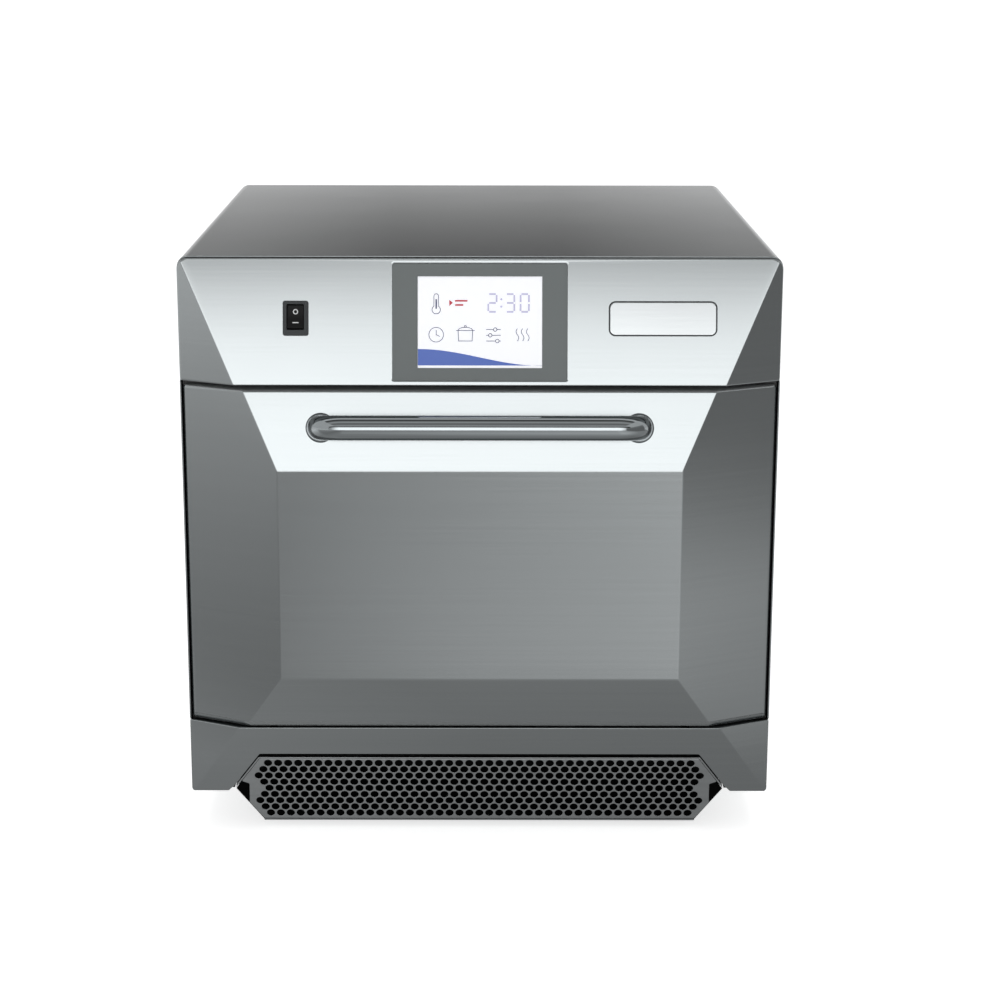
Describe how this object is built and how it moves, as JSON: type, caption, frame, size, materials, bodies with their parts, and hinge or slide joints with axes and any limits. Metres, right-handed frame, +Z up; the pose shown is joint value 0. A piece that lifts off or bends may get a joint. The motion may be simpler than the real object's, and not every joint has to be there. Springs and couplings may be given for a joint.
{
  "type": "speed oven",
  "caption": "Countertop speed oven: faceted brushed steel front, drop-down door with a tubular handle, touch screen, rocker switch and pull-out air filter under the door.",
  "frame": {"origin": "on the counter, in the middle of the bounding box", "axes": "+X to the right seen from the front, the front looks along -Y, +Z up"},
  "size_m": [0.584, 0.7498, 0.591],
  "materials": {
    "brushed_outer_steel": "fine brushed stainless sheet",
    "polished_handle": "mirror-polished stainless tube",
    "plated_chassis_steel": "zinc-plated sheet",
    "black_painted_steel": "black powder coat",
    "cavity_steel": "satin stainless",
    "dark_rubber": "matt",
    "black_plastic": "fine moulded",
    "screen_surround": "smooth",
    "display_face": "smooth bright panel",
    "badge_metal": "satin, blank",
    "board_laminate": "solder mask",
    "insulation_wool": "mineral wool",
    "filter_foam": "open-cell foam",
    "ceramic": "unglazed",
    "dark_plate": "hard anodised",
    "fan_steel": "plain sheet",
    "element_metal": "heat-stained sheath",
    "motor_metal": "grey coated",
    "cast_aluminium": "as cast",
    "iron_core": "varnished laminations",
    "can_metal": "drawn can"
  },
  "bodies": {
    "cabinet": {"outer_cover": "brushed_outer_steel", "control_fascia": "brushed_outer_steel", "lower_panel": "brushed_outer_steel", "rear_panel": "plated_chassis_steel", "base_tray": "plated_chassis_steel", "rear_exhaust_hood": "plated_chassis_steel", "hinge_bracket_left": "plated_chassis_steel", "hinge_bracket_right": "plated_chassis_steel", "impinger_plate": "plated_chassis_steel", "electronics_shelf": "plated_chassis_steel", "front_frame": "black_painted_steel", "intake_housing": "black_painted_steel", "oven_cavity": "cavity_steel", "foot_front_left": "dark_rubber", "foot_front_right": "dark_rubber", "foot_rear_left": "dark_rubber", "foot_rear_right": "dark_rubber", "switch_housing": "black_plastic", "interlock_switch_left": "black_plastic", "interlock_switch_right": "black_plastic", "cooling_fan_frame": "black_plastic", "cable_gland": "black_plastic", "screen_bezel": "screen_surround", "display_module": "display_face", "badge_plate": "badge_metal", "control_board": "board_laminate", "relay_board": "board_laminate", "cavity_insulation": "insulation_wool", "ceramic_floor": "ceramic", "heating_element": "element_metal", "fan_motor": "motor_metal", "stirrer_motor": "motor_metal", "waveguide": "cast_aluminium", "magnetron_left": "cast_aluminium", "magnetron_right": "cast_aluminium", "transformer_left": "iron_core", "transformer_right": "iron_core", "capacitor_left": "can_metal", "capacitor_right": "can_metal"},
    "door": {"door_skin": "brushed_outer_steel", "door_inner_panel": "plated_chassis_steel", "door_insulation": "insulation_wool", "door_choke_frame": "plated_chassis_steel", "door_seal": "dark_rubber", "door_handle": "polished_handle", "handle_collar_left": "polished_handle", "handle_collar_right": "polished_handle", "hinge_arm_left": "plated_chassis_steel", "hinge_arm_right": "plated_chassis_steel", "interlock_hook_left": "plated_chassis_steel", "interlock_hook_right": "plated_chassis_steel"},
    "air_filter": {"filter_face": "brushed_outer_steel", "filter_frame": "black_plastic", "filter_pad": "filter_foam"},
    "rocker": {"switch_rocker": "black_plastic"},
    "loose_plate": {"cook_plate": "dark_plate"},
    "hot_air_fan": {"convection_fan": "fan_steel"},
    "cooling_fan": {"cooling_rotor": "black_plastic"},
    "stirrer": {"stirrer_blade": "cast_aluminium"}
  },
  "joints": [
    {"name": "door_hinge", "type": "hinge", "parent": "cabinet", "child": "door", "pos_m": [0, -0.30804, 0.14], "axis": [1, 0, 0], "range_deg": [0, 90], "stiffness_Nm_per_rad": 4, "springref_deg": -28.65},
    {"name": "filter_slide", "type": "slide", "parent": "cabinet", "child": "air_filter", "axis": [0, -1, 0], "range_m": [0, 0.06]},
    {"name": "rocker_tilt", "type": "hinge", "parent": "cabinet", "child": "rocker", "pos_m": [-0.1775, -0.30141, 0.53299], "axis": [1, 0, 0], "range_deg": [0, 16]},
    {"name": "cook_plate_lift", "type": "slide", "parent": "cabinet", "child": "loose_plate", "axis": [0, 0, 1], "range_m": [0, 0.05]},
    {"name": "hot_air_fan_spin", "type": "hinge", "parent": "cabinet", "child": "hot_air_fan", "pos_m": [0, 0.04996, 0.289], "axis": [0, 1, 0], "continuous": true},
    {"name": "cooling_fan_spin", "type": "hinge", "parent": "cabinet", "child": "cooling_fan", "pos_m": [0, 0.29796, 0.47], "axis": [0, 1, 0], "continuous": true},
    {"name": "stirrer_spin", "type": "hinge", "parent": "cabinet", "child": "stirrer", "pos_m": [0, -0.13504, 0.14], "axis": [0, 0, 1], "continuous": true}
  ]
}
